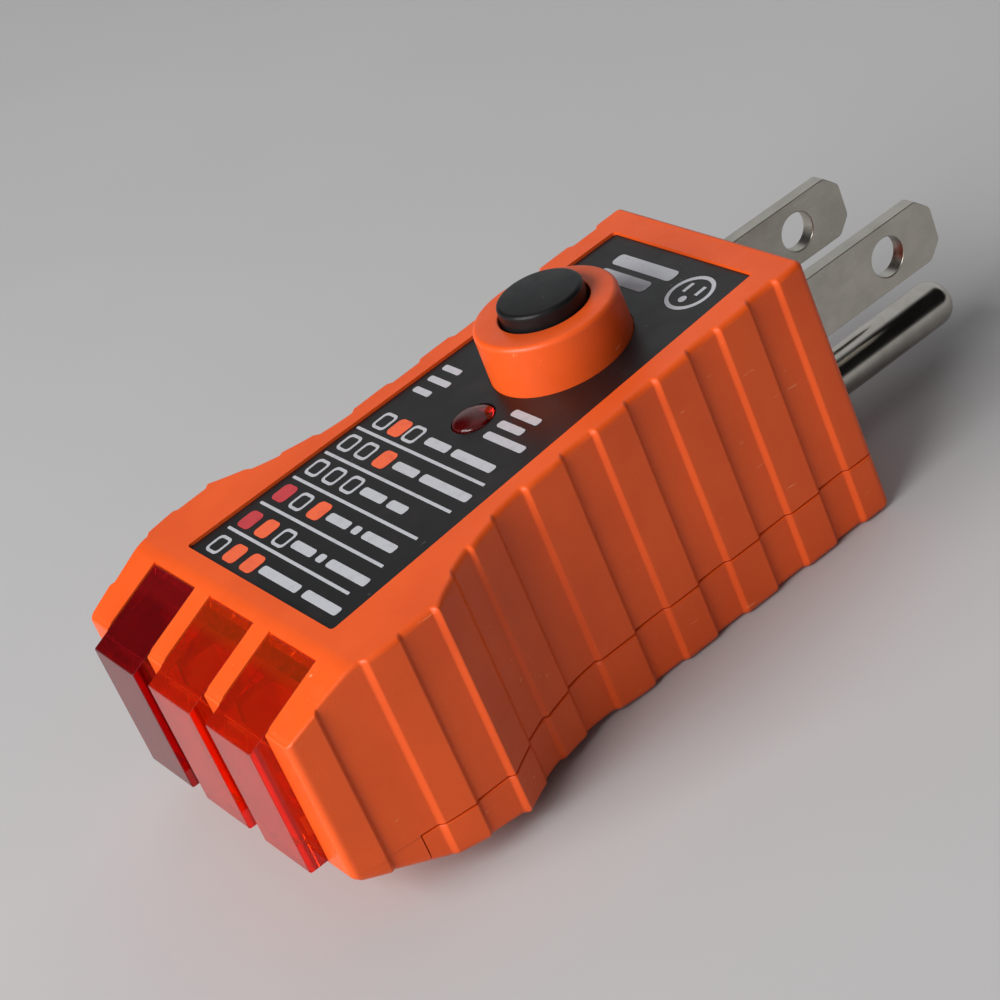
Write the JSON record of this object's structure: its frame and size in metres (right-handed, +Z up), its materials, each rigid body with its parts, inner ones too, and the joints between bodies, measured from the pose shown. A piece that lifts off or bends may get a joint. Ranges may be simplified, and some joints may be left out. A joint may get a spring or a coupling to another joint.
{
  "type": "outlet tester plug",
  "caption": "Plug-in receptacle wiring tester with ribbed orange housing, tinted indicator lenses, sprung round test button, flat blades and round ground pin.",
  "frame": {"origin": "bottom centre of the bounding box, on the plane of the flat underside", "axes": "+Y along the prongs, out of the prong face; +Z up, the way the button faces; X across the housing, red lens on the -X side"},
  "size_m": [0.0394, 0.0866, 0.0311],
  "materials": {
    "orange_shell": "semi-gloss moulded ABS, fine moulded grain",
    "label_black": "satin printed film",
    "lens_red": "clear tinted acrylic, polished",
    "lens_amber": "clear tinted acrylic, polished",
    "button_black": "satin moulded plastic",
    "natural_nylon": "natural nylon, matte",
    "spring_steel": "drawn wire",
    "dark_phenolic": "matte moulding",
    "brass": "plain brass",
    "board_green": "glass-epoxy board with green mask",
    "lamp_red": "tinted epoxy",
    "lamp_amber": "tinted epoxy",
    "nickel": "nickel plate over brass, satin",
    "resistor_tan": "cement coating",
    "resistor_blue": "lacquer",
    "diode_black": "moulded epoxy",
    "wire_white": "insulation",
    "wire_black": "insulation",
    "wire_green": "insulation",
    "screw_steel": "zinc plate"
  },
  "bodies": {
    "case": {"upper_housing": "orange_shell", "lower_cover": "orange_shell", "label_panel": "label_black", "lens_red": "lens_red", "lens_amber_centre": "lens_amber", "lens_amber_side": "lens_amber", "status_window": "lens_red", "switch_housing": "dark_phenolic", "switch_terminal_left": "brass", "switch_terminal_right": "brass", "circuit_board": "board_green", "lamp_red": "lamp_red", "lamp_amber_centre": "lamp_amber", "lamp_amber_side": "lamp_amber", "status_lamp": "lamp_red", "lamp_partition": "natural_nylon", "blade_neutral": "nickel", "blade_hot": "nickel", "ground_pin": "nickel", "prong_carrier": "dark_phenolic", "test_resistor": "resistor_tan", "dropping_resistor_1": "resistor_blue", "dropping_resistor_2": "resistor_blue", "dropping_resistor_3": "resistor_blue", "diode_one": "diode_black", "diode_two": "diode_black", "lead_neutral": "wire_white", "lead_hot": "wire_black", "lead_ground": "wire_green", "cover_screw_1": "screw_steel", "cover_screw_2": "screw_steel"},
    "button": {"button_cap": "button_black", "switch_plunger": "natural_nylon", "contact_bridge": "brass", "switch_spring": "spring_steel"}
  },
  "joints": [
    {"name": "test_button_press", "type": "slide", "parent": "case", "child": "button", "axis": [0, 0, -1], "range_m": [0, 0.0015], "stiffness_N_per_m": 400, "springref_m": -0.002, "deforming": ["switch_spring"]}
  ]
}
